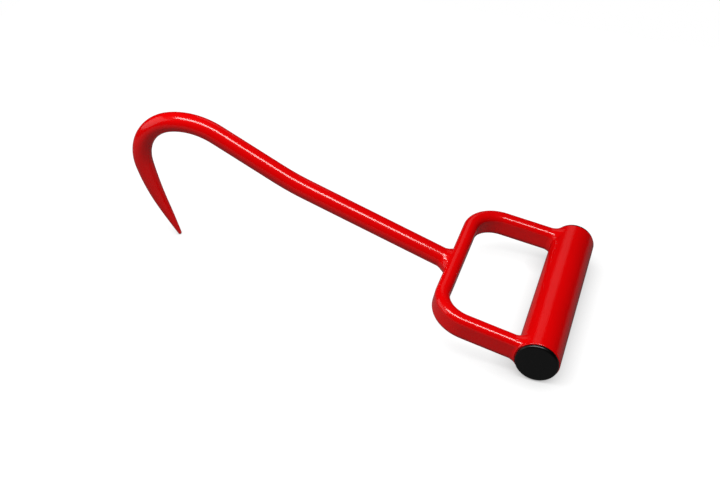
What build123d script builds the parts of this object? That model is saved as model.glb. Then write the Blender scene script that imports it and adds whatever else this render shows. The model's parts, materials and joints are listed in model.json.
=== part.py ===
from build123d import *
from math import asin, atan2, cos, degrees, hypot, radians, sin, sqrt, tan
import os

# Hay hook: a bent round bar with a point, welded to a U-shaped yoke of flat bar whose two arms
# carry a pipe grip with a plastic plug in each end. All sizes are in millimetres and degrees.
# The part lies as it does on a table: the grip along Y on the surface, the hook towards -X,
# the shank rising from the yoke and the point touching the surface. Z = 0 is the surface.
#
# The pieces are first built in the yoke's own plane, with the grip's axis on the Y axis and the
# yoke flat in XY, and are then tilted together about the grip until the point touches down.

# Grip pipe
GRIP_DIAMETER = 26.9
GRIP_WALL = 2.6
GRIP_LENGTH = 122.7
GRIP_EDGE_BREAK = 0.5

# Yoke: a flat bar with rounded edges, standing on edge
BAR_THICKNESS = 9.2
BAR_WIDTH = 15.6
BAR_EDGE_FLAT = 0.8
YOKE_REACH = 65.2
YOKE_CORNER_RADIUS = 20.0
ARM_SPLAY = 2.8
ARM_SETBACK = 0.0

# Hook: a round bar that leaves the middle of the yoke
ROD_DIAMETER = 12.5
ROOT_DROP = 0.9
SHANK_RISE = 8.5
SHANK_LENGTH = 99.0
KINK_RADIUS = 155.0
KINK_ANGLE = 7.3
NECK_LENGTH = 45.3
SHOULDER_RADIUS = 45.0
SHOULDER_ANGLE = 42.0
CROWN_RADIUS = 29.0
CROWN_ANGLE = 89.0
POINT_BEND_RADIUS = 158.0
POINT_BEND_ANGLE = 11.5
POINT_RUN = 22.4

# Point: the bar tapers to a blunt tip, and the taper starts in the last of the crown
TAPER_IN_CROWN = 40.0
TIP_RADIUS = 1.2
TAPER_STATIONS = 9

# End plugs
PLUG_HEAD_INSET = 0.5
PLUG_HEAD_THICKNESS = 2.4
PLUG_CROWN = 0.35
PLUG_RIM_RADIUS = 0.9
PLUG_STEM_LENGTH = 15.0
PLUG_STEM_WALL = 1.6
PLUG_STEM_CLEARANCE = 0.9
PLUG_RIB_COUNT = 4
PLUG_RIB_THICKNESS = 0.8
PLUG_RIB_CLEARANCE = 0.05
PLUG_FIRST_RIB = 3.0
PLUG_STEM_LEAD = 2.4

# Welds
ROOT_WELD_LEG = 6.5
ROOT_WELD_HEIGHT = 6.5
ARM_WELD_LEG = 3.2
ARM_WELD_HEIGHT = 4.2
WELD_TOE = 0.35
WELD_HOLLOW = 0.35
WELD_WAIST = 0.5

# Worked out from the sizes above
grip_radius = GRIP_DIAMETER / 2
bore_radius = grip_radius - GRIP_WALL
rod_radius = ROD_DIAMETER / 2
bar_edge_radius = (BAR_THICKNESS - BAR_EDGE_FLAT) / 2
half_grip = GRIP_LENGTH / 2
arm_offset = half_grip - ARM_SETBACK - BAR_THICKNESS / 2
crossbar_offset = arm_offset - YOKE_REACH * tan(radians(ARM_SPLAY))


def heading(angle):
    """Unit direction at an angle above the line that runs from the grip to the hook."""
    return (-cos(radians(angle)), sin(radians(angle)))


def hook_line():
    """Centreline of the hook in the XZ plane: the bar up to its taper, and the tapered end."""
    start = (-YOKE_REACH, -ROOT_DROP - sin(radians(SHANK_RISE)) * BAR_THICKNESS / 2)
    shank_end = Vector(*start) + Vector(*heading(SHANK_RISE)) * (SHANK_LENGTH + BAR_THICKNESS / 2)
    shank = Line(start, shank_end)
    kink = JernArc(shank @ 1, heading(SHANK_RISE), KINK_RADIUS, -KINK_ANGLE)
    neck_angle = SHANK_RISE + KINK_ANGLE
    neck = Line(kink @ 1, (kink @ 1) + Vector(*heading(neck_angle)) * NECK_LENGTH)
    shoulder = JernArc(neck @ 1, heading(neck_angle), SHOULDER_RADIUS, SHOULDER_ANGLE)
    crown = JernArc(shoulder @ 1, shoulder % 1, CROWN_RADIUS, CROWN_ANGLE - TAPER_IN_CROWN)
    taper = JernArc(crown @ 1, crown % 1, CROWN_RADIUS, TAPER_IN_CROWN)
    point_bend = JernArc(taper @ 1, taper % 1, POINT_BEND_RADIUS, POINT_BEND_ANGLE)
    point = Line(point_bend @ 1, (point_bend @ 1) + (point_bend % 1) * POINT_RUN)
    bar = Plane.XZ * Wire([shank, kink, neck, shoulder, crown])
    tail = Plane.XZ * Wire([taper, point_bend, point])
    return bar, tail


def taper_radius(distance, length):
    """Radius of the tapered end at a distance from its start: an arc that leaves the bar smoothly."""
    drop = rod_radius - TIP_RADIUS
    arc = (length**2 + drop**2) / (2 * drop)
    return rod_radius - arc + sqrt(arc**2 - distance**2)


def rest_tilt(tip):
    """Angle about the grip that brings the tip down to the surface that the grip lies on."""
    reach = hypot(tip.X, tip.Z)
    below = atan2(-tip.Z, -tip.X)
    return degrees(below + asin((TIP_RADIUS - grip_radius) / reach))


def make_grip():
    """The pipe, with its cut ends broken by a small radius."""
    pipe = Cylinder(grip_radius, GRIP_LENGTH) - Cylinder(bore_radius, GRIP_LENGTH)
    outer_ends = pipe.edges().filter_by(GeomType.CIRCLE).sort_by(SortBy.RADIUS)[-2:]
    pipe = fillet(outer_ends, GRIP_EDGE_BREAK)
    return Rot(90, 0, 0) * pipe


def make_bar():
    """The bent flat bar before its ends are shaped to the grip."""
    corners = [
        (0, -arm_offset),
        (-YOKE_REACH, -crossbar_offset),
        (-YOKE_REACH, crossbar_offset),
        (0, arm_offset),
    ]
    line = FilletPolyline(*corners, radius=YOKE_CORNER_RADIUS)
    section_plane = Plane(origin=line @ 0, z_dir=line % 0, x_dir=(0, 0, 1))
    section = section_plane * RectangleRounded(BAR_WIDTH, BAR_THICKNESS, bar_edge_radius)
    return sweep(section, path=line)


def make_grip_space():
    """The round space that the pipe takes up, longer than the pipe, for coping what meets it."""
    length = 2 * GRIP_LENGTH
    return Rot(90, 0, 0) * Cylinder(grip_radius, length)


def make_yoke(bar):
    """The bent bar with its two ends coped to the round of the grip."""
    return bar - make_grip_space()


def make_hook(bar_line, tail_line, bar):
    """The round bar, its tapered end and its blunt tip, cut to sit against the yoke."""
    shank_plane = Plane(origin=bar_line @ 0, z_dir=bar_line % 0)
    shank = sweep(shank_plane * Circle(rod_radius), path=bar_line)
    sections = []
    for station in range(TAPER_STATIONS):
        share = station / (TAPER_STATIONS - 1)
        radius = taper_radius(share * tail_line.length, tail_line.length)
        plane = Plane(origin=tail_line @ share, z_dir=tail_line % share, x_dir=(0, 1, 0))
        sections.append(plane * Circle(radius))
    tip = Pos(tail_line @ 1) * Sphere(TIP_RADIUS)
    return shank + loft(sections) + tip - bar


def weld_flare(share):
    """How far a weld has spread at a share of its height: 1 at its root, 0 at its toe, hollow between."""
    return (1 - share) ** (1 + WELD_HOLLOW)


def make_root_weld(bar_line, bar, hook):
    """The weld round the foot of the hook: a hollow-faced collar that spreads over the yoke."""
    axis = bar_line % 0
    seat = bar_line @ 0 + axis * (BAR_THICKNESS / 2)
    toe_radius = rod_radius + WELD_TOE
    spread = ROOT_WELD_LEG - WELD_TOE
    rise = BAR_WIDTH / 2 - WELD_TOE - toe_radius
    sink = BAR_THICKNESS / 4
    sections = []
    for share in (0, WELD_WAIST, 1):
        flare = weld_flare(share)
        middle = seat + axis * (share * (ROOT_WELD_HEIGHT + sink) - sink)
        plane = Plane(origin=middle, z_dir=axis, x_dir=(0, 1, 0))
        sections.append(plane * Ellipse(toe_radius + spread * flare, toe_radius + rise * flare))
    return loft(sections) - bar - hook


def make_arm_weld(side, yoke):
    """The weld round the end of one arm, spreading over the grip and flush with the grip's end."""
    base = grip_radius / 2
    height = grip_radius + ARM_WELD_HEIGHT - base
    sections = []
    for share in (0, WELD_WAIST, 1):
        reach = base + height * share
        margin = 2 * (WELD_TOE + ARM_WELD_LEG * weld_flare(share))
        middle = (-reach, side * (arm_offset - reach * tan(radians(ARM_SPLAY))), 0)
        plane = Plane(origin=middle, z_dir=(-1, 0, 0), x_dir=(0, 1, 0))
        outline = RectangleRounded(BAR_THICKNESS + margin, BAR_WIDTH + margin, bar_edge_radius)
        sections.append(plane * outline)
    between_ends = Box(GRIP_LENGTH, GRIP_LENGTH, GRIP_LENGTH)
    return (loft(sections) & between_ends) - make_grip_space() - yoke


def make_plug_head():
    """The head of an end plug: a disc with a slightly crowned face and a rounded rim."""
    head_radius = grip_radius - PLUG_HEAD_INSET
    rim = PLUG_HEAD_THICKNESS - PLUG_CROWN
    crown_radius = (head_radius**2 + PLUG_CROWN**2) / (2 * PLUG_CROWN)
    halfway = head_radius / 2
    halfway_height = PLUG_HEAD_THICKNESS - crown_radius + sqrt(crown_radius**2 - halfway**2)
    outline = [
        Line((0, 0), (head_radius, 0)),
        Line((head_radius, 0), (head_radius, rim)),
        ThreePointArc((head_radius, rim), (halfway, halfway_height), (0, PLUG_HEAD_THICKNESS)),
        Line((0, PLUG_HEAD_THICKNESS), (0, 0)),
    ]
    profile = make_face(outline)
    rim_corner = profile.vertices().sort_by(lambda corner: corner.X + corner.Y)[-1]
    profile = fillet(rim_corner, PLUG_RIM_RADIUS)
    return revolve(Plane.XZ * profile, axis=Axis.Z)


def make_plug(side):
    """One end plug: its head on the end of the pipe, and a hollow ribbed stem inside the pipe."""
    stem_radius = bore_radius - PLUG_STEM_CLEARANCE
    stem = Pos(0, 0, -PLUG_STEM_LENGTH / 2) * Cylinder(stem_radius, PLUG_STEM_LENGTH)
    rib = Cylinder(bore_radius - PLUG_RIB_CLEARANCE, PLUG_RIB_THICKNESS)
    rib_span = PLUG_STEM_LENGTH - PLUG_FIRST_RIB - PLUG_STEM_LEAD
    for number in range(PLUG_RIB_COUNT):
        depth = PLUG_FIRST_RIB + rib_span * number / (PLUG_RIB_COUNT - 1)
        stem += Pos(0, 0, -depth) * rib
    hollow = Pos(0, 0, -PLUG_STEM_LENGTH / 2) * Cylinder(stem_radius - PLUG_STEM_WALL, PLUG_STEM_LENGTH)
    plug = make_plug_head() + (stem - hollow)
    return Pos(0, side * half_grip, 0) * Rot(-90 * side, 0, 0) * plug


def lay_down(piece, tilt, shift):
    """Tilt a piece about the grip, lift the grip onto the surface and centre the part on X."""
    return Pos(shift, 0, grip_radius) * Rot(0, tilt, 0) * piece


bar_line, tail_line = hook_line()
bar = make_bar()
hook = make_hook(bar_line, tail_line, bar)
yoke = make_yoke(bar)
pieces = {
    "hook_rod": hook,
    "yoke": yoke,
    "grip_tube": make_grip(),
    "left_end_plug": make_plug(-1),
    "right_end_plug": make_plug(1),
    "root_weld": make_root_weld(bar_line, bar, hook),
    "left_arm_weld": make_arm_weld(-1, yoke),
    "right_arm_weld": make_arm_weld(1, yoke),
}

tilt = rest_tilt(tail_line @ 1)
front = (Rot(0, tilt, 0) * hook).bounding_box().min.X
shift = -(front + grip_radius) / 2

os.makedirs("parts", exist_ok=True)
for name, piece in pieces.items():
    export_step(lay_down(piece, tilt, shift), f"parts/{name}.step")
print(f"rest tilt {tilt:.2f} degrees, shift {shift:.2f} mm")
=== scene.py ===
"""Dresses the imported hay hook: its powder-coated steel, its welds and its plastic end plugs.

Each piece is modelled in the yoke's own plane: the grip lies along Y through the origin and the
hook points towards -X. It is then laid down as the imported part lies, resting on its grip and its
point. Lengths are in metres, and MM turns millimetres into metres.
"""

import json
import logging
import math
from collections.abc import Callable
from dataclasses import dataclass
from enum import Enum

import bmesh
import bpy
from bpy.types import Material, Node, NodeSocket, NodeTree, Object
from mathutils import Matrix, Vector


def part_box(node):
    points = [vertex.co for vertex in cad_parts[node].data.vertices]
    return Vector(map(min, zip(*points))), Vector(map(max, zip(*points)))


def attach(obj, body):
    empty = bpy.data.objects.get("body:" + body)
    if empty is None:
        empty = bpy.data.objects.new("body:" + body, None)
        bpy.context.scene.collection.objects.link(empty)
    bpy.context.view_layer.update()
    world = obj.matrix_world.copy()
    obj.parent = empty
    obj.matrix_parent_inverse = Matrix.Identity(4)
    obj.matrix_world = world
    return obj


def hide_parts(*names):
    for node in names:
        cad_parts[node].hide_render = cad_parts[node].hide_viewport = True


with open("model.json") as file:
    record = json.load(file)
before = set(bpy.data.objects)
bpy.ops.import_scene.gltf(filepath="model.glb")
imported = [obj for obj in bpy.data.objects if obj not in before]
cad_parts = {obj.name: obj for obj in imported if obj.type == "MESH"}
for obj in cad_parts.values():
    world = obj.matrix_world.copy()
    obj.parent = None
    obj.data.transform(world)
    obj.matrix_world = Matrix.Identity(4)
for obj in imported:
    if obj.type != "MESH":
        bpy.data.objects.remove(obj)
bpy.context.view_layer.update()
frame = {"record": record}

MM = 0.001
BODY = "root"
SMOOTH_ANGLE = math.radians(40)
MERGE_GAP = 0.002 * MM
log = logging.getLogger("hay_hook")


class Slot(Enum):
    """The record's material slots."""

    RED = "red_powder_coat"
    BLACK = "black_plastic"


class Side(Enum):
    """The two ends of the grip, as a sign along Y."""

    LEFT = -1
    RIGHT = 1


# Working a mesh


class Workpiece:
    """One mesh under work: a primitive that is drawn out and shaped in edit mode."""

    def __init__(self, name: str) -> None:
        """Take over the primitive that was just added.

        Args:
            name: the piece's name.
        """
        self.solid: Object = bpy.context.object
        self.solid.name = name
        self.solid.data.name = name

    @classmethod
    def ring(cls, name: str, radius: float, place: Matrix, count: int) -> "Workpiece":
        """Start from an open circle, which is left in edit mode with all of it selected.

        Args:
            name: the piece's name.
            radius: the circle's radius.
            place: where the circle lies, its own Z being its axis.
            count: how many points it has.

        Returns:
            The new workpiece.
        """
        bpy.ops.object.select_all(action="DESELECT")
        spot = place.to_translation()
        bpy.ops.mesh.primitive_circle_add(
            vertices=count, radius=radius, location=spot, rotation=place.to_euler()
        )
        return cls(name)._open()

    @classmethod
    def rounded_bar(cls, name: str, size: Vector, corner: float, place: Matrix) -> "Workpiece":
        """Start from the open outline of a flat bar with rounded edges, left in edit mode.

        Args:
            name: the piece's name.
            size: the outline's size along its own X and Y.
            corner: the radius of its corners.
            place: where the outline lies, its own Z being its axis.

        Returns:
            The new workpiece.
        """
        bpy.ops.object.select_all(action="DESELECT")
        bpy.ops.mesh.primitive_plane_add(size=1)
        work = cls(name)._open()
        bpy.ops.transform.resize(value=(size.x, size.y, 1), center_override=(0, 0, 0))
        bpy.ops.mesh.bevel(
            offset=corner, segments=CORNER_STEPS, affect="VERTICES", clamp_overlap=False
        )
        bpy.ops.mesh.delete(type="ONLY_FACE")
        work.put(place)
        return work._open()

    def _open(self) -> "Workpiece":
        """Apply the object's place to its mesh and select all of it in edit mode.

        Returns:
            This workpiece.
        """
        bpy.ops.object.transform_apply(location=True, rotation=True, scale=True)
        bpy.ops.object.mode_set(mode="EDIT")
        bpy.ops.mesh.select_all(action="SELECT")
        return self

    def put(self, place: Matrix) -> None:
        """Move the whole mesh to a place, and leave it in object mode.

        Args:
            place: the move, as a matrix, which may mirror too.
        """
        if bpy.context.mode != "OBJECT":
            bpy.ops.object.mode_set(mode="OBJECT")
        self.pick()
        self.solid.matrix_world = place @ self.solid.matrix_world
        bpy.ops.object.transform_apply(location=True, rotation=True, scale=True)

    def pick(self) -> None:
        """Make this the only selected object."""
        bpy.ops.object.select_all(action="DESELECT")
        self.solid.select_set(True)
        bpy.context.view_layer.objects.active = self.solid

    def draw_out(self, step: Vector) -> None:
        """Extrude the selected ring along a step."""
        bpy.ops.mesh.extrude_region_move(TRANSFORM_OT_translate={"value": tuple(step)})

    def resize(self, ratio: Vector, about: Vector) -> None:
        """Resize the selected ring along the three axes about a point."""
        bpy.ops.transform.resize(value=tuple(ratio), center_override=tuple(about))

    def select_where(self, test: Callable[[Vector], bool]) -> None:
        """Select just the points that pass a test of their place.

        Args:
            test: takes a point's place and says whether it is wanted.
        """
        bpy.ops.mesh.select_all(action="DESELECT")
        bpy.ops.mesh.select_mode(type="VERT")
        mesh = bmesh.from_edit_mesh(self.solid.data)
        for point in mesh.verts:
            if test(point.co):
                point.select_set(True)
        mesh.select_flush(True)
        bmesh.update_edit_mesh(self.solid.data)

    def turn(self, profile: list[tuple[float, float]], start: tuple[float, float]) -> None:
        """Draw the ring out about Z through the stations of a turned profile.

        Args:
            profile: the height and radius of each further ring.
            start: the height and radius of the ring as it is.
        """
        height, radius = start
        for next_height, next_radius in profile:
            self.draw_out(Vector((0, 0, next_height - height)))
            ratio = next_radius / radius
            self.resize(Vector((ratio, ratio, 1)), Vector((0, 0, next_height)))
            height, radius = next_height, next_radius

    def reshape(self, move: Callable[[Vector], Vector]) -> None:
        """Move every point of the mesh to where a function of its place says."""
        for point in self.solid.data.vertices:
            point.co = move(point.co.copy())

    def close_to_point(self) -> None:
        """Draw the selected ring together into one point."""
        bpy.ops.mesh.merge(type="CENTER")

    def close(self) -> None:
        """Merge doubles, close what is still open, turn every face outwards and leave edit mode."""
        bpy.ops.mesh.select_all(action="SELECT")
        bpy.ops.mesh.remove_doubles(threshold=MERGE_GAP)
        bpy.ops.mesh.fill_holes(sides=0)
        bpy.ops.mesh.select_all(action="SELECT")
        bpy.ops.mesh.normals_make_consistent(inside=False)
        bpy.ops.object.mode_set(mode="OBJECT")

    def modify(self, kind: str, **settings: object) -> None:
        """Add a modifier, set it and apply it at once.

        Args:
            kind: the modifier's type.
            settings: its properties, by name.
        """
        bpy.ops.object.modifier_add(type=kind)
        modifier = self.solid.modifiers[-1]
        for name, value in settings.items():
            setattr(modifier, name, value)
        bpy.ops.object.modifier_apply(modifier=modifier.name)

    def cut(self, other: "Workpiece") -> None:
        """Take the space of another solid out of this one.

        Args:
            other: the solid whose space is taken out, which stays as it is.
        """
        self.pick()
        self.modify("BOOLEAN", operation="DIFFERENCE", solver="EXACT", object=other.solid)
        bpy.ops.object.mode_set(mode="EDIT")
        bpy.ops.mesh.select_all(action="SELECT")
        bpy.ops.mesh.dissolve_degenerate(threshold=MERGE_GAP)
        bpy.ops.object.mode_set(mode="OBJECT")

    def copy(self, name: str) -> "Workpiece":
        """Copy this piece, with its own mesh.

        Args:
            name: the copy's name.

        Returns:
            The copy.
        """
        self.pick()
        bpy.ops.object.duplicate(linked=False)
        return Workpiece(name)

    def discard(self) -> None:
        """Delete this piece, as a cutter that has done its work."""
        bpy.data.objects.remove(self.solid, do_unlink=True)

    def smooth(self) -> None:
        """Shade the surface smooth, with its sharp edges kept and its large faces leading."""
        self.pick()
        bpy.ops.object.shade_smooth_by_angle(angle=SMOOTH_ANGLE)
        self.modify("WEIGHTED_NORMAL", keep_sharp=True)


@dataclass
class BarEnd:
    """The end of a bar while it is drawn out and bent, always in one plane.

    place is the middle of the end, heading its direction, and plane the normal of the bends.
    """

    work: Workpiece
    place: Vector
    heading: Vector
    plane: Vector

    def run(self, length: float) -> None:
        """Draw the bar out straight."""
        self.work.draw_out(self.heading * length)
        self.place = self.place + self.heading * length

    def bend(self, radius: float, angle: float, steps: int) -> None:
        """Bend the bar along an arc.

        Args:
            radius: the radius of the bar's middle line.
            angle: how far it turns, anticlockwise about the plane's normal.
            steps: how many rings the arc gets.
        """
        sense = math.copysign(1, angle)
        centre = self.place + self.plane.cross(self.heading) * (radius * sense)
        axis = self.plane * -sense
        bpy.ops.mesh.spin(steps=steps, angle=abs(angle), center=centre, axis=axis, dupli=False)
        turn = Matrix.Rotation(angle, 3, self.plane)
        self.place = centre + turn @ (self.place - centre)
        self.heading = turn @ self.heading

    def shrink(self, ratio: float) -> None:
        """Make the end ring smaller about its middle."""
        self.work.resize(Vector((ratio, ratio, ratio)), self.place)


def facing(place: Vector, axis: Vector, across: Vector) -> Matrix:
    """The place of a section whose Z is a given axis.

    Args:
        place: the section's middle.
        axis: its direction, of unit length.
        across: the direction of its own X, at right angles to the axis.

    Returns:
        The matrix that puts a section there.
    """
    up = axis.cross(across)
    turn = Matrix((across, up, axis)).transposed()
    return Matrix.Translation(place) @ turn.to_4x4()


# Sizes that several pieces share

RING_POINTS = 64
CORNER_STEPS = 10

grip_low, grip_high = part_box("grip_tube")
GRIP_RADIUS = (grip_high.z - grip_low.z) / 2
GRIP_LENGTH = grip_high.y - grip_low.y
GRIP_MIDDLE = (grip_high + grip_low) / 2


def rest_place() -> Matrix:
    """Where the yoke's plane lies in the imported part.

    Returns:
        The matrix that lays a piece down: a tilt about the grip, and the grip's own place.
    """
    mounts = {mount["name"]: mount for mount in frame["record"]["mounts"]}
    along = mounts["hanging_face"]["axis"]
    tilt = math.atan2(-along[2], along[0])
    return Matrix.Translation(GRIP_MIDDLE) @ Matrix.Rotation(tilt, 4, "Y")


@dataclass
class Yoke:
    """The flat bar with rounded edges, standing on edge and bent into a U."""

    thickness: float = 9.2 * MM
    width: float = 15.6 * MM
    edge_flat: float = 0.8 * MM
    reach: float = 65.2 * MM
    corner_radius: float = 20.0 * MM
    splay: float = math.radians(2.8)
    bend_steps: int = 28

    @property
    def edge_radius(self) -> float:
        """Radius of the bar's rounded edges."""
        return (self.thickness - self.edge_flat) / 2

    @property
    def arm_offset(self) -> float:
        """How far an arm's middle stands from the grip's middle, at the grip."""
        return (GRIP_LENGTH - self.thickness) / 2

    def build(self) -> Workpiece:
        """Bend one half from the middle of the crossbar to the grip, and mirror it.

        Returns:
            The bent bar, whose ends reach the grip's axis.
        """
        turn = math.pi / 2 - self.splay
        tangent = self.corner_radius * math.tan(turn / 2)
        crossbar = self.arm_offset - self.reach * math.tan(self.splay) - tangent
        middle = Vector((-self.reach, 0, 0))
        heading = Vector((0, -1, 0))
        size = Vector((self.thickness, self.width))
        place = facing(middle, heading, Vector((1, 0, 0)))
        work = Workpiece.rounded_bar("yoke_bar", size, self.edge_radius, place)
        bar = BarEnd(work, middle, heading, Vector((0, 0, 1)))
        bar.run(crossbar)
        bar.bend(self.corner_radius, turn, self.bend_steps)
        bar.run(self.reach / math.cos(self.splay) - tangent)
        bpy.ops.object.mode_set(mode="OBJECT")
        work.pick()
        work.modify("MIRROR", use_axis=(False, True, False))
        bpy.ops.object.mode_set(mode="EDIT")
        work.close()
        return work


@dataclass
class HookRod:
    """The round bar: a straight shank, a slight kink, a crown and a tapered, blunt point."""

    radius: float = 6.25 * MM
    root_drop: float = 0.9 * MM
    rise: float = math.radians(8.5)
    shank: float = 99.0 * MM
    kink_radius: float = 155.0 * MM
    kink: float = math.radians(7.3)
    neck: float = 45.3 * MM
    shoulder_radius: float = 45.0 * MM
    shoulder: float = math.radians(42.0)
    crown_radius: float = 29.0 * MM
    crown: float = math.radians(89.0)
    point_bend_radius: float = 158.0 * MM
    point_bend: float = math.radians(11.5)
    point_run: float = 22.4 * MM
    taper_in_crown: float = math.radians(40.0)
    tip_radius: float = 1.2 * MM
    kink_steps: int = 6
    shoulder_steps: int = 14
    crown_steps: int = 18
    point_steps: int = 14
    tip_steps: int = 6

    def axis(self) -> Vector:
        """Direction of the shank as it leaves the yoke."""
        return Vector((-math.cos(self.rise), 0, math.sin(self.rise)))

    def foot(self, yoke: Yoke) -> Vector:
        """Where the rod's middle line starts, inside the crossbar."""
        drop = self.root_drop + math.sin(self.rise) * yoke.thickness / 2
        return Vector((-yoke.reach, 0, -drop))

    def radius_at(self, distance: float, length: float) -> float:
        """Radius of the point at a distance along it.

        Args:
            distance: how far along the point, from where its taper starts.
            length: the length of the whole point.

        Returns:
            The radius there, on an arc that leaves the bar smoothly.
        """
        drop = self.radius - self.tip_radius
        arc = (length**2 + drop**2) / (2 * drop)
        return self.radius - arc + math.sqrt(arc**2 - distance**2)

    def build(self, yoke: Yoke) -> Workpiece:
        """Draw the bar out from inside the yoke, bend it and point it.

        Args:
            yoke: the yoke that it leaves.

        Returns:
            The bar, not yet cut to the yoke.
        """
        place = facing(self.foot(yoke), self.axis(), Vector((0, 1, 0)))
        work = Workpiece.ring("hook", self.radius, place, RING_POINTS)
        bar = BarEnd(work, self.foot(yoke), self.axis(), Vector((0, -1, 0)))
        bar.run(self.shank + yoke.thickness / 2)
        bar.bend(self.kink_radius, -self.kink, self.kink_steps)
        bar.run(self.neck)
        bar.bend(self.shoulder_radius, self.shoulder, self.shoulder_steps)
        bar.bend(self.crown_radius, self.crown - self.taper_in_crown, self.crown_steps)
        self.draw_point(bar)
        work.close()
        return work

    def draw_point(self, bar: BarEnd) -> None:
        """Draw out the tapered end and round its tip.

        Args:
            bar: the end of the bar, where the taper starts.
        """
        bends = [
            (self.crown_radius, self.taper_in_crown),
            (self.point_bend_radius, self.point_bend),
        ]
        length = sum(radius * angle for radius, angle in bends) + self.point_run
        distance, size = 0.0, self.radius
        for radius, angle in bends:
            for _ in range(self.point_steps):
                bar.bend(radius, angle / self.point_steps, 1)
                distance += radius * angle / self.point_steps
                size = self.narrow(bar, size, self.radius_at(distance, length))
        for _ in range(self.point_steps):
            bar.run(self.point_run / self.point_steps)
            distance += self.point_run / self.point_steps
            size = self.narrow(bar, size, self.radius_at(distance, length))
        reached = 0.0
        for step in range(1, self.tip_steps):
            angle = step / self.tip_steps * math.pi / 2
            bar.run((math.sin(angle) - reached) * self.tip_radius)
            reached = math.sin(angle)
            size = self.narrow(bar, size, math.cos(angle) * self.tip_radius)
        bar.run((1 - reached) * self.tip_radius)
        bar.work.close_to_point()

    @staticmethod
    def narrow(bar: BarEnd, size: float, wanted: float) -> float:
        """Bring the bar's end from one radius to another, and give the new one."""
        bar.shrink(wanted / size)
        return wanted


@dataclass
class Grip:
    """The pipe across the arms of the yoke."""

    wall: float = 2.6 * MM
    edge_break: float = 0.8 * MM
    edge_steps: int = 6
    points: int = 192

    @property
    def bore_radius(self) -> float:
        """Radius of the pipe's bore."""
        return GRIP_RADIUS - self.wall

    def space(self) -> Workpiece:
        """Make the round space of the pipe, longer than the pipe, for coping what meets it.

        Returns:
            The space, as a solid.
        """
        place = facing(Vector((0, -GRIP_LENGTH, 0)), Vector((0, 1, 0)), Vector((1, 0, 0)))
        work = Workpiece.ring("grip_space", GRIP_RADIUS, place, self.points)
        work.draw_out(Vector((0, 2 * GRIP_LENGTH, 0)))
        work.close()
        return work

    def build(self) -> Workpiece:
        """Make the pipe out of a cylinder: inset its ends, bore it through and break its edges.

        Returns:
            The pipe.
        """
        bpy.ops.object.select_all(action="DESELECT")
        along_y = (math.pi / 2, 0, 0)
        bpy.ops.mesh.primitive_cylinder_add(
            vertices=self.points, radius=GRIP_RADIUS, depth=GRIP_LENGTH, rotation=along_y
        )
        work = Workpiece("grip")._open()
        half = GRIP_LENGTH / 2
        bpy.ops.mesh.select_mode(type="FACE")
        self.select_ends(work)
        bpy.ops.mesh.inset(thickness=self.wall)
        bpy.ops.mesh.bridge_edge_loops()
        middle_of_wall = GRIP_RADIUS - self.wall / 2
        work.select_where(
            lambda at: abs(abs(at.y) - half) < MERGE_GAP
            and math.hypot(at.x, at.z) > middle_of_wall
        )
        bpy.ops.mesh.bevel(
            offset=self.edge_break, segments=self.edge_steps, affect="EDGES", clamp_overlap=False
        )
        work.close()
        return work

    @staticmethod
    def select_ends(work: Workpiece) -> None:
        """Select the two end faces of the pipe's cylinder.

        Args:
            work: the cylinder, in edit mode.
        """
        bpy.ops.mesh.select_all(action="DESELECT")
        mesh = bmesh.from_edit_mesh(work.solid.data)
        for face in mesh.faces:
            face.select_set(abs(face.normal.y) > math.cos(SMOOTH_ANGLE))
        bmesh.update_edit_mesh(work.solid.data)


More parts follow.
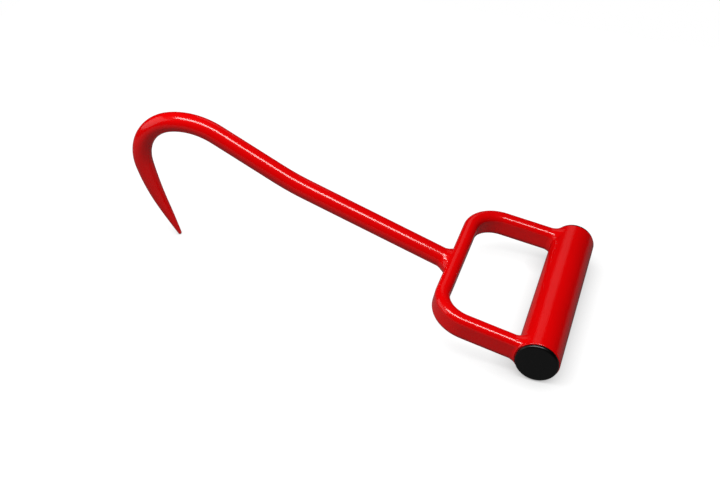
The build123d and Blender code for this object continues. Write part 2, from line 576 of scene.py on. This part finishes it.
@dataclass
class EndPlug:
    """A moulded plug: a crowned head with a rounded rim, and a hollow ribbed stem in the pipe."""

    head_inset: float = 0.5 * MM
    head_thickness: float = 2.4 * MM
    crown: float = 0.35 * MM
    rim_radius: float = 1.6 * MM
    stem_length: float = 15.0 * MM
    stem_wall: float = 1.6 * MM
    stem_clearance: float = 0.9 * MM
    rib_count: int = 4
    rib_thickness: float = 0.8 * MM
    rib_clearance: float = 0.05 * MM
    first_rib: float = 3.0 * MM
    stem_lead: float = 2.4 * MM
    rim_steps: int = 8
    crown_steps: int = 8

    def head_profile(self) -> list[tuple[float, float]]:
        """Height and radius of the head's rings, from its back face to near its middle.

        Returns:
            The rings in order.
        """
        radius = GRIP_RADIUS - self.head_inset
        sphere = (radius**2 + self.crown**2) / (2 * self.crown)
        rim_middle = radius - self.rim_radius
        slope = math.asin(rim_middle / (sphere - self.rim_radius))
        top = self.head_thickness - sphere
        rim_height = top + (sphere - self.rim_radius) * math.cos(slope)
        profile = [(0.0, radius)]
        for step in range(self.rim_steps + 1):
            angle = (math.pi / 2 - slope) * step / self.rim_steps
            height = rim_height + self.rim_radius * math.sin(angle)
            profile.append((height, rim_middle + self.rim_radius * math.cos(angle)))
        for step in range(1, self.crown_steps):
            angle = slope * (1 - step / self.crown_steps)
            profile.append((top + sphere * math.cos(angle), sphere * math.sin(angle)))
        return profile

    def stem_profile(self, bore: float) -> list[tuple[float, float]]:
        """Height and radius of the stem's rings, from the mouth of its hollow to the head.

        Args:
            bore: the radius of the pipe's bore.

        Returns:
            The rings in order.
        """
        outer = bore - self.stem_clearance
        rib = bore - self.rib_clearance
        half = self.rib_thickness / 2
        span = self.stem_length - self.first_rib - self.stem_lead
        profile = [(-self.stem_length, outer - self.stem_wall), (-self.stem_length, outer)]
        for number in reversed(range(self.rib_count)):
            depth = self.first_rib + span * number / (self.rib_count - 1)
            profile += [(-depth - half, outer), (-depth - half, rib)]
            profile += [(-depth + half, rib), (-depth + half, outer)]
        profile.append((0.0, outer))
        return profile

    def build(self, grip: Grip) -> Workpiece:
        """Turn one plug about Z, its head pointing up.

        Args:
            grip: the pipe that it is pressed into.

        Returns:
            The plug, standing at the origin.
        """
        hollow = grip.bore_radius - self.stem_clearance - self.stem_wall
        work = Workpiece.ring("end_plug", hollow, Matrix.Identity(4), RING_POINTS)
        profile = self.stem_profile(grip.bore_radius) + self.head_profile()
        work.turn(profile, (0.0, hollow))
        last_height, _ = profile[-1]
        work.draw_out(Vector((0, 0, self.head_thickness - last_height)))
        work.close_to_point()
        work.close()
        return work

    @staticmethod
    def place(side: Side) -> Matrix:
        """Where a plug goes: its head's back face on the pipe's end, its head pointing out."""
        end = Vector((0, side.value * GRIP_LENGTH / 2, 0))
        return facing(end, Vector((0, side.value, 0)), Vector((1, 0, 0)))


@dataclass
class Weld:
    """What every weld here shares: a hollow face that runs out into the bar, laid in ripples."""

    sunk_toe: float = 0.12 * MM
    hollow: float = 0.5
    rings: int = 22
    ripples: int = 26
    ripple_depth: float = 0.035 * MM
    ripple_bow: float = 1.6
    trough_edges: tuple[float, ...] = (-0.1, 0.35, 0.75)
    lump_size: float = 3.0 * MM
    lump_height: float = 0.34 * MM
    lump_level: float = 0.55
    lump_depth: int = 1

    def flare(self, share: float) -> float:
        """How far a weld has spread at a share of its height: 1 at its foot, 0 at its toe."""
        return (1 - share) ** (1 + self.hollow)

    def lay(self, work: Workpiece, height: float) -> None:
        """Give a bead that stands on the origin its ripples and its uneven run.

        Args:
            work: the closed bead, in object mode, with its own Z as its axis.
            height: its height over the origin.
        """
        bpy.ops.object.mode_set(mode="EDIT")
        bpy.ops.mesh.select_mode(type="FACE")
        bpy.ops.mesh.select_face_by_sides(number=4, type="GREATER", extend=False)
        bpy.ops.mesh.poke()
        for edge in self.trough_edges:
            work.select_where(lambda at: self.trough(at, height) > edge)
            bpy.ops.transform.shrink_fatten(value=-self.ripple_depth / len(self.trough_edges))
        bpy.ops.object.mode_set(mode="OBJECT")
        lumps = bpy.data.textures.new(f"{work.solid.name}_run", "CLOUDS")
        lumps.noise_scale = self.lump_size
        lumps.noise_depth = self.lump_depth
        work.modify(
            "DISPLACE", texture=lumps, strength=self.lump_height, mid_level=self.lump_level
        )

    def trough(self, at: Vector, height: float) -> float:
        """How near a point is to the middle of a trough between two ripples, 1 being there."""
        bow = self.ripple_bow * (2 * at.z / height - 1) ** 2
        return math.cos(self.ripples * math.atan2(at.y, at.x) + bow)


@dataclass
class RootWeld(Weld):
    """The hollow-faced collar round the foot of the hook."""

    leg: float = 6.4 * MM
    height: float = 6.2 * MM
    points: int = 208

    def build(self, yoke: Yoke, rod: HookRod) -> Workpiece:
        """Draw the collar out along the rod from inside the crossbar.

        Args:
            yoke: the yoke that it stands on.
            rod: the rod that it goes round.

        Returns:
            The collar, not yet cut to its neighbours.
        """
        toe_radius = rod.radius - self.sunk_toe
        rise = yoke.width / 2 - self.sunk_toe - toe_radius
        sink = yoke.thickness / 4
        start = Matrix.Translation((0, 0, -sink))
        work = Workpiece.ring("root_weld_bead", 1.0, start, self.points)
        across, tall = 1.0, 1.0
        for number in range(self.rings + 1):
            share = number / self.rings
            height = share * (self.height + sink) - sink
            if number:
                work.draw_out(Vector((0, 0, (self.height + sink) / self.rings)))
            wide = toe_radius + self.leg * self.flare(share)
            high = toe_radius + rise * self.flare(share)
            work.resize(Vector((wide / across, high / tall, 1)), Vector((0, 0, height)))
            across, tall = wide, high
        work.close()
        self.lay(work, self.height)
        seat = rod.foot(yoke) + rod.axis() * (yoke.thickness / 2)
        work.put(facing(seat, rod.axis(), Vector((0, 1, 0))))
        return work


@dataclass
class ArmWeld(Weld):
    """The bead round the end of one arm: wide over the grip, and narrow towards the grip's end."""

    ripples: int = 22
    leg: float = 3.4 * MM
    outer_leg: float = 0.9 * MM
    height: float = 4.4 * MM
    sink: float = 1.0 * MM
    ring_cuts: int = 3
    lump_height: float = 0.26 * MM

    def flare(self, share: float) -> float:
        """How far the bead has spread: an even hollow from the grip's surface to its toe."""
        return 1 - math.sqrt(1 - (1 - max(share, 0.0)) ** 2)

    def build(self, yoke: Yoke) -> Workpiece:
        """Draw the left arm's bead out along the arm, seat it on the grip and lean it inwards.

        Args:
            yoke: the yoke whose arm it goes round.

        Returns:
            The bead, not yet cut to its neighbours.
        """
        size = Vector((yoke.width, yoke.thickness)) - Vector((1, 1)) * (2 * self.sunk_toe)
        corner = yoke.edge_radius - self.sunk_toe
        start = Matrix.Translation((0, 0, -self.sink))
        work = Workpiece.rounded_bar("arm_weld_bead", size, corner, start)
        bpy.ops.mesh.subdivide(number_cuts=self.ring_cuts)
        bpy.ops.mesh.select_all(action="SELECT")
        step = (self.height + self.sink) / self.rings
        now = size
        for number in range(self.rings + 1):
            level = number * step - self.sink
            if number:
                work.draw_out(Vector((0, 0, step)))
            spread = self.flare(level / self.height)
            wanted = size + Vector((2 * self.leg, self.leg + self.outer_leg)) * spread
            work.resize(Vector((wanted.x / now.x, wanted.y / now.y, 1)), Vector((0, 0, level)))
            now = wanted
        work.close()
        self.lay(work, self.height)
        work.reshape(self.seat)
        along = Vector((-math.cos(yoke.splay), math.sin(yoke.splay), 0))
        inward = Vector((math.sin(yoke.splay), math.cos(yoke.splay), 0))
        foot = Vector((-GRIP_RADIUS, GRIP_RADIUS * math.tan(yoke.splay) - yoke.arm_offset, 0))
        turn = Matrix((Vector((0, 0, 1)), inward, along)).transposed()
        work.put(Matrix.Translation(foot) @ turn.to_4x4())
        past_end = self.space_past_grip()
        work.cut(past_end)
        past_end.discard()
        return work

    @staticmethod
    def space_past_grip() -> Workpiece:
        """Make the block of space past the left end of the grip, in front of its rim.

        Returns:
            The space, as a solid.
        """
        side = 2 * GRIP_RADIUS
        bpy.ops.object.select_all(action="DESELECT")
        bpy.ops.mesh.primitive_cube_add(
            size=side, location=(-GRIP_RADIUS, -(GRIP_LENGTH + side) / 2, 0)
        )
        return Workpiece("space_past_grip")

    def seat(self, at: Vector) -> Vector:
        """Where a point of the straight bead goes: down with the grip's round, and inwards.

        Args:
            at: the point's place, the bead's axis being Z.

        Returns:
            Its new place.
        """
        lean = (self.leg - self.outer_leg) / 2 * self.flare(at.z / self.height)
        level = 1 - min(max(at.z / self.height, 0.0), 1.0)
        drop = GRIP_RADIUS - math.sqrt(GRIP_RADIUS**2 - at.x**2)
        return Vector((at.x, at.y + lean, at.z - drop * level))


# Finishes

NOISE_MIDDLE = 0.5


class Sheet:
    """A node tree under work, with short calls for adding nodes and feeding their inputs."""

    def __init__(self, tree: NodeTree) -> None:
        """Work on a tree.

        Args:
            tree: the material's, world's or group's own node tree.
        """
        self.tree = tree

    def add(
        self, kind: str, inputs: dict[str | int, object] | None = None, **settings: object
    ) -> Node:
        """Add a node, set its properties and feed its inputs.

        Args:
            kind: the node's type.
            inputs: an output or a plain value for each input, by name or number.
            settings: the properties to set, by name.

        Returns:
            The new node.
        """
        node = self.tree.nodes.new(kind)
        for name, value in settings.items():
            setattr(node, name, value)
        for label, value in (inputs or {}).items():
            self.feed(node.inputs[label], value)
        return node

    def feed(self, socket: NodeSocket, value: object) -> None:
        """Link an output to an input, or set the input where the value is plain.

        Args:
            socket: the input.
            value: the output or the plain value.
        """
        if isinstance(value, NodeSocket):
            self.tree.links.new(value, socket)
        else:
            socket.default_value = value

    def math(self, operation: str, *values: object) -> NodeSocket:
        """Add a Math node.

        Args:
            operation: what it does.
            values: its inputs in order, each an output or a number.

        Returns:
            Its output.
        """
        return self.add("ShaderNodeMath", dict(enumerate(values)), operation=operation).outputs[0]

    def ramp(self, value: NodeSocket, low: float, high: float) -> NodeSocket:
        """Bring a value to between 0 and 1, softly at both ends.

        Args:
            value: the value.
            low: what becomes 0.
            high: what becomes 1.

        Returns:
            The brought value.
        """
        inputs = {"Value": value, "From Min": low, "From Max": high}
        node = self.add("ShaderNodeMapRange", inputs, interpolation_type="SMOOTHSTEP")
        return node.outputs["Result"]

    def noise(
        self, scale: object, detail: object = 2.0, place: NodeSocket | None = None
    ) -> NodeSocket:
        """Add a noise over the piece's own coordinates.

        Args:
            scale: the noise's scale.
            detail: how many finer noises are laid over it.
            place: other coordinates to take, where given.

        Returns:
            The noise, between 0 and 1.
        """
        if place is None:
            place = self.add("ShaderNodeTexCoord").outputs["Object"]
        inputs = {"Vector": place, "Scale": scale, "Detail": detail}
        return self.add("ShaderNodeTexNoise", inputs).outputs["Fac"]

    def mix(
        self, share: NodeSocket, first: NodeSocket, second: tuple[float, float, float]
    ) -> NodeSocket:
        """Mix a colour with a plain one.

        Args:
            share: how much of the plain colour.
            first: the colour that is there.
            second: the plain colour.

        Returns:
            The mixed colour.
        """
        node = self.add("ShaderNodeMix", {0: share}, data_type="RGBA")
        colours = [socket for socket in node.inputs if socket.type == "RGBA"]
        self.feed(colours[0], first)
        self.feed(colours[1], (*second, 1))
        return next(socket for socket in node.outputs if socket.type == "RGBA")


class Effect:
    """A shader node group that several finishes share, built once and placed in each."""

    title: str = ""
    inputs: dict[str, float] = {}
    output: tuple[str, str] = ("Mask", "NodeSocketFloat")

    def draw(self, sheet: Sheet, given: Node) -> NodeSocket:
        """Lay out the group's nodes.

        Args:
            sheet: the group's own tree.
            given: its input node.

        Returns:
            The output of its last node.
        """
        raise NotImplementedError

    def group(self) -> NodeTree:
        """Give the node group, which is built on first use.

        Returns:
            The group's tree.
        """
        tree = bpy.data.node_groups.get(self.title)
        if tree is not None:
            return tree
        tree = bpy.data.node_groups.new(self.title, "ShaderNodeTree")
        name, kind = self.output
        tree.interface.new_socket(name=name, in_out="OUTPUT", socket_type=kind)
        for label, value in self.inputs.items():
            socket = tree.interface.new_socket(
                name=label, in_out="INPUT", socket_type="NodeSocketFloat"
            )
            socket.default_value = value
        if kind == "NodeSocketColor":
            tree.interface.new_socket(name="Colour", in_out="INPUT", socket_type=kind)
        sheet = Sheet(tree)
        given, result = sheet.add("NodeGroupInput"), sheet.add("NodeGroupOutput")
        sheet.feed(result.inputs[0], self.draw(sheet, given))
        return tree

    def place(self, sheet: Sheet, **values: object) -> NodeSocket:
        """Place the group in a finish.

        Args:
            sheet: the finish's tree.
            values: the group's inputs by name, as plain values.

        Returns:
            The group's output.
        """
        return sheet.add("ShaderNodeGroup", values, node_tree=self.group()).outputs[0]


class Relief(Effect):
    """An even, fine unevenness of a surface, as a height."""

    title = "surface_relief"
    inputs = {"Scale": 100.0, "Detail": 0.0, "Height": 0.01}
    output = ("Height", "NodeSocketFloat")

    def draw(self, sheet: Sheet, given: Node) -> NodeSocket:
        """Centre a noise on nought and give it its height.

        Args:
            sheet: the group's own tree.
            given: its input node.

        Returns:
            The height.
        """
        noise = sheet.noise(given.outputs["Scale"], given.outputs["Detail"])
        centred = sheet.math("SUBTRACT", noise, NOISE_MIDDLE)
        return sheet.math("MULTIPLY", centred, given.outputs["Height"])


class ToneDrift(Effect):
    """A slow drift of a colour, lighter here and deeper there."""

    title = "tone_drift"
    inputs = {"Scale": 30.0, "Amount": 0.05}
    output = ("Colour", "NodeSocketColor")
    detail = 2.0

    def draw(self, sheet: Sheet, given: Node) -> NodeSocket:
        """Scale the colour by one plus a share of a centred noise.

        Args:
            sheet: the group's own tree.
            given: its input node.

        Returns:
            The drifted colour.
        """
        noise = sheet.noise(given.outputs["Scale"], self.detail)
        centred = sheet.math("SUBTRACT", noise, NOISE_MIDDLE)
        swing = sheet.math("MULTIPLY", centred, given.outputs["Amount"])
        level = sheet.math("ADD", swing, 1.0)
        inputs = {0: given.outputs["Colour"], "Scale": level}
        return sheet.add("ShaderNodeVectorMath", inputs, operation="SCALE").outputs["Vector"]


class HandlingMarks(Effect):
    """Faint hairline rub marks, crossing in two directions."""

    title = "handling_marks"
    inputs = {"Scale": 60.0, "Stretch": 25.0, "Amount": 0.3}
    turns = ((0.4, 0.2, 0.7), (1.1, -0.5, 2.1))
    detail = 3.0
    crest = (0.64, 0.72)

    def draw(self, sheet: Sheet, given: Node) -> NodeSocket:
        """Keep only the crests of two noises that are drawn out into lines.

        Args:
            sheet: the group's own tree.
            given: its input node.

        Returns:
            The marks, as a mask.
        """
        place = sheet.add("ShaderNodeTexCoord").outputs["Object"]
        stretch = {"X": 1.0, "Y": given.outputs["Stretch"], "Z": 1.0}
        across = sheet.add("ShaderNodeCombineXYZ", stretch).outputs[0]
        total = None
        for turn in self.turns:
            inputs = {"Vector": place, "Rotation": turn}
            turned = sheet.add("ShaderNodeVectorRotate", inputs, rotation_type="EULER_XYZ")
            inputs = {0: turned.outputs[0], 1: across}
            drawn = sheet.add("ShaderNodeVectorMath", inputs, operation="MULTIPLY")
            noise = sheet.noise(given.outputs["Scale"], self.detail, drawn.outputs["Vector"])
            crest = sheet.ramp(noise, *self.crest)
            total = crest if total is None else sheet.math("MAXIMUM", total, crest)
        return sheet.math("MULTIPLY", total, given.outputs["Amount"])


class SettledDust(Effect):
    """A thin settling of dust, thickest where the surface faces up."""

    title = "settled_dust"
    inputs = {"Scale": 900.0, "Amount": 0.1}
    speck = (0.60, 0.74)
    slope = (0.3, 1.0)

    def draw(self, sheet: Sheet, given: Node) -> NodeSocket:
        """Cut a fine noise down to specks and fade them by the surface's slope.

        Args:
            sheet: the group's own tree.
            given: its input node.

        Returns:
            The dust, as a mask.
        """
        specks = sheet.ramp(sheet.noise(given.outputs["Scale"]), *self.speck)
        geometry = sheet.add("ShaderNodeNewGeometry")
        normal = sheet.add("ShaderNodeSeparateXYZ", {0: geometry.outputs["Normal"]})
        upward = sheet.ramp(normal.outputs["Z"], *self.slope)
        lying = sheet.math("MULTIPLY", specks, upward)
        return sheet.math("MULTIPLY", lying, given.outputs["Amount"])


@dataclass(frozen=True)
class Finish:
    """What the two finishes share: a drifting colour, two reliefs, rub marks and dust.

    Heights and depths are in millimetres.
    """

    name: str
    colour: tuple[float, float, float]
    drift: float
    roughness: float
    coarse_scale: float
    coarse_height: float
    fine_scale: float
    fine_height: float
    marks: float
    dust: float
    drift_scale: float = 28.0
    coarse_detail: float = 1.0
    fine_detail: float = 2.0
    mark_scale: float = 70.0
    mark_stretch: float = 22.0
    mark_depth: float = 0.0015
    mark_roughness: float = 0.12
    dust_scale: float = 1100.0
    dust_colour: tuple[float, float, float] = (0.42, 0.40, 0.37)
    dust_roughness: float = 0.5

    def material(self) -> Material:
        """Build the material.

        Returns:
            The material, which reads Object coordinates alone.
        """
        material = bpy.data.materials.new(self.name)
        material.use_nodes = True
        sheet = Sheet(material.node_tree)
        surface = sheet.tree.nodes["Principled BSDF"]
        tone = ToneDrift().place(
            sheet, Colour=(*self.colour, 1), Scale=self.drift_scale, Amount=self.drift
        )
        dust = SettledDust().place(sheet, Scale=self.dust_scale, Amount=self.dust)
        marks = HandlingMarks().place(
            sheet, Scale=self.mark_scale, Stretch=self.mark_stretch, Amount=self.marks
        )
        coarse = Relief().place(
            sheet, Scale=self.coarse_scale, Detail=self.coarse_detail, Height=self.coarse_height
        )
        fine = Relief().place(
            sheet, Scale=self.fine_scale, Detail=self.fine_detail, Height=self.fine_height
        )

        sheet.feed(surface.inputs["Base Color"], sheet.mix(dust, tone, self.dust_colour))

        rubbed = sheet.math("MULTIPLY_ADD", marks, self.mark_roughness, self.roughness)
        dull = sheet.math("MULTIPLY_ADD", dust, self.dust_roughness, rubbed)
        sheet.feed(surface.inputs["Roughness"], dull)

        height = sheet.math("ADD", coarse, fine)
        scratched = sheet.math("MULTIPLY_ADD", marks, -self.mark_depth, height)
        bump = sheet.add("ShaderNodeBump", {"Distance": MM, "Height": scratched})
        sheet.feed(surface.inputs["Normal"], bump.outputs["Normal"])
        return material


POWDER_COAT = Finish(
    name="red_coat",
    colour=(0.79, 0.0, 0.0006),
    drift=0.10,
    roughness=0.155,
    coarse_scale=90.0,
    coarse_height=0.15,
    fine_scale=2600.0,
    fine_height=0.0006,
    marks=0.2,
    dust=0.004,
)
MOULDED_PLASTIC = Finish(
    name="black_moulding",
    colour=(0.0015, 0.0015, 0.0016),
    drift=0.25,
    roughness=0.30,
    coarse_scale=160.0,
    coarse_height=0.12,
    fine_scale=3400.0,
    fine_height=0.012,
    marks=0.5,
    dust=0.012,
)


def dress(piece: Workpiece, material: Material, node: str) -> None:
    """Lay a finished piece down, dress it and let it stand for its CAD node.

    Args:
        piece: the finished piece, still in the yoke's plane.
        material: its finish.
        node: the CAD node that it stands for.
    """
    piece.put(rest_place())
    piece.smooth()
    piece.solid.data.materials.clear()
    piece.solid.data.materials.append(material)
    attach(piece.solid, BODY)
    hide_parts(node)
    faces = len(piece.solid.data.polygons)
    log.info("%s: %d faces, stands for %s", piece.solid.name, faces, node)


# Studio


@dataclass
class Camera:
    """The photograph's camera: where it stands, where it aims and how it is turned."""

    azimuth: float = math.radians(16.67)
    elevation: float = math.radians(36.92)
    roll: float = math.radians(1.85)
    distance: float = 762.3 * MM
    aim: tuple[float, float, float] = (7.2 * MM, 0.0, 18.3 * MM)
    lens: float = 60.0
    sensor: float = 36.0

    def build(self) -> None:
        """Set the camera up and make it the scene's."""
        bpy.ops.object.camera_add()
        camera = bpy.context.object
        camera.name = "photo_camera"
        camera.data.lens = self.lens
        camera.data.sensor_width = self.sensor
        level, height = math.cos(self.elevation), math.sin(self.elevation)
        back = Vector((math.sin(self.azimuth) * level, -math.cos(self.azimuth) * level, height))
        straight = (-back).to_track_quat("-Z", "Y").to_matrix().to_4x4()
        turn = straight @ Matrix.Rotation(self.roll, 4, "Z")
        camera.matrix_world = Matrix.Translation(Vector(self.aim) + back * self.distance) @ turn
        bpy.context.scene.camera = camera


@dataclass(frozen=True)
class Softbox:
    """A flat lamp, whose energy is its radiance times its area times a fixed factor."""

    name: str
    place: tuple[float, float, float]
    aim: tuple[float, float, float]
    size: tuple[float, float]
    radiance: float
    energy_factor: float = 4.0

    def build(self) -> None:
        """Hang the lamp and point it at its aim."""
        bpy.ops.object.light_add(type="AREA", location=self.place)
        lamp = bpy.context.object
        lamp.name = self.name
        lamp.data.shape = "RECTANGLE"
        lamp.data.size, lamp.data.size_y = self.size
        lamp.data.energy = self.energy_factor * self.radiance * self.size[0] * self.size[1]
        direction = Vector(self.aim) - Vector(self.place)
        lamp.rotation_euler = direction.to_track_quat("-Z", "Y").to_euler()
        lamp.visible_camera = False


@dataclass(frozen=True)
class Brightness:
    """How bright something in the studio is, for each kind of ray that meets it."""

    seen: float
    mirrored: float
    spread: float

    def value(self, sheet: Sheet) -> NodeSocket:
        """Add up the kinds of ray, each with its own brightness.

        Args:
            sheet: the material or world that the brightness is for.

        Returns:
            The brightness.
        """
        rays = sheet.add("ShaderNodeLightPath").outputs
        total = sheet.math("MULTIPLY", rays["Is Camera Ray"], self.seen)
        total = sheet.math("MULTIPLY_ADD", rays["Is Transmission Ray"], self.seen, total)
        total = sheet.math("MULTIPLY_ADD", rays["Is Glossy Ray"], self.mirrored, total)
        return sheet.math("MULTIPLY_ADD", rays["Is Diffuse Ray"], self.spread, total)


@dataclass
class Studio:
    """The floor, the backdrop and the lamps."""

    floor_size: float = 0.8
    floor_own_light: Brightness = Brightness(1.0, 0.07, 0.0)
    floor_pale: Brightness = Brightness(0.10, 0.08, 0.31)
    # Reach, fade and samples of the painted contact shadow: the floor's own glow is darkened by
    # ambient occlusion under and beside the object.
    painted_shadow_reach: float = 18.0 * MM
    painted_shadow_fade: float = 0.5
    painted_shadow_samples: int = 12
    all_round: Brightness = Brightness(1.0, 0.012, 0.08)
    lamps: tuple[Softbox, ...] = (
        Softbox(
            name="key",
            place=(-0.15, -0.30, 1.0),
            aim=(-0.15, -0.30, 0.0),
            size=(1.14, 0.25),
            radiance=10.9,
        ),
        Softbox(
            name="side_panel",
            place=(-0.85, -0.2, 0.35),
            aim=(-0.05, 0.0, 0.05),
            size=(0.8, 0.6),
            radiance=0.65,
        ),
        Softbox(
            name="back_panel",
            place=(-0.12, 0.8, 0.6),
            aim=(0.13, 0.0, 0.0),
            size=(0.42, 0.4),
            radiance=0.2,
        ),
    )

    def build(self) -> None:
        """Lay the floor, light it and set the camera."""
        self.floor()
        self.world()
        for lamp in self.lamps:
            lamp.build()
        Camera().build()

    def floor(self) -> None:
        """Lay the pale floor, whose own glow is darkened near the object as a painted contact
        shadow.
        """
        bpy.ops.object.select_all(action="DESELECT")
        bpy.ops.mesh.primitive_plane_add(size=self.floor_size)
        floor = bpy.context.object
        floor.name = "floor"
        material = bpy.data.materials.new("pale_floor")
        material.use_nodes = True
        sheet = Sheet(material.node_tree)
        sheet.tree.nodes.remove(sheet.tree.nodes["Principled BSDF"])
        # The floor's own glow is darkened by ambient occlusion near the object. This is a painted
        # contact shadow, on top of the real shadow that the lit part of the floor keeps.
        reach = {"Distance": self.painted_shadow_reach}
        open_sky = sheet.add("ShaderNodeAmbientOcclusion", reach, samples=self.painted_shadow_samples)
        painted_shadow = sheet.math("POWER", open_sky.outputs["AO"], self.painted_shadow_fade)
        light = sheet.math("MULTIPLY", self.floor_own_light.value(sheet), painted_shadow)
        own = sheet.add("ShaderNodeEmission", {"Strength": light})
        lit = sheet.add("ShaderNodeBsdfDiffuse", {"Color": self.floor_pale.value(sheet)})
        both = sheet.add("ShaderNodeAddShader", {0: own.outputs[0], 1: lit.outputs[0]})
        sheet.feed(sheet.tree.nodes["Material Output"].inputs["Surface"], both.outputs[0])
        floor.data.materials.append(material)

    def world(self) -> None:
        """Set the light that comes from all round."""
        world = bpy.data.worlds.new("studio")
        bpy.context.scene.world = world
        world.use_nodes = True
        sheet = Sheet(world.node_tree)
        ambient = sheet.tree.nodes["Background"]
        sheet.feed(ambient.inputs["Color"], (1, 1, 1, 1))
        sheet.feed(ambient.inputs["Strength"], self.all_round.value(sheet))


# Making the object


def main() -> None:
    """Build and dress every piece in order, then set up the studio."""
    logging.basicConfig(level=logging.INFO, format="%(message)s")
    red = POWDER_COAT.material()
    black = MOULDED_PLASTIC.material()

    yoke, rod, grip, plug = Yoke(), HookRod(), Grip(), EndPlug()
    grip_space = grip.space()
    yoke_bar = yoke.build()
    hook = rod.build(yoke)
    root_weld = RootWeld().build(yoke, rod)
    root_weld.cut(hook)
    root_weld.cut(yoke_bar)
    hook.cut(yoke_bar)
    left_weld = ArmWeld().build(yoke)
    left_weld.cut(yoke_bar)
    left_weld.cut(grip_space)
    yoke_bar.cut(grip_space)
    right_weld = left_weld.copy("right_weld_bead")
    right_weld.put(Matrix.Diagonal((1, -1, 1, 1)))
    bpy.ops.object.mode_set(mode="EDIT")
    right_weld.close()
    grip_space.discard()

    dress(yoke_bar, red, "yoke")
    dress(hook, red, "hook_rod")
    dress(root_weld, red, "root_weld")
    dress(left_weld, red, "left_arm_weld")
    dress(right_weld, red, "right_arm_weld")
    dress(grip.build(), red, "grip_tube")
    turned_plug = plug.build(grip)
    for side, node in ((Side.LEFT, "left_end_plug"), (Side.RIGHT, "right_end_plug")):
        piece = turned_plug.copy(f"{side.name.lower()}_plug")
        piece.put(plug.place(side))
        dress(piece, black, node)
    turned_plug.discard()

    Studio().build()
    bpy.context.scene.view_settings.view_transform = "Standard"


if __name__ == "__main__":
    main()
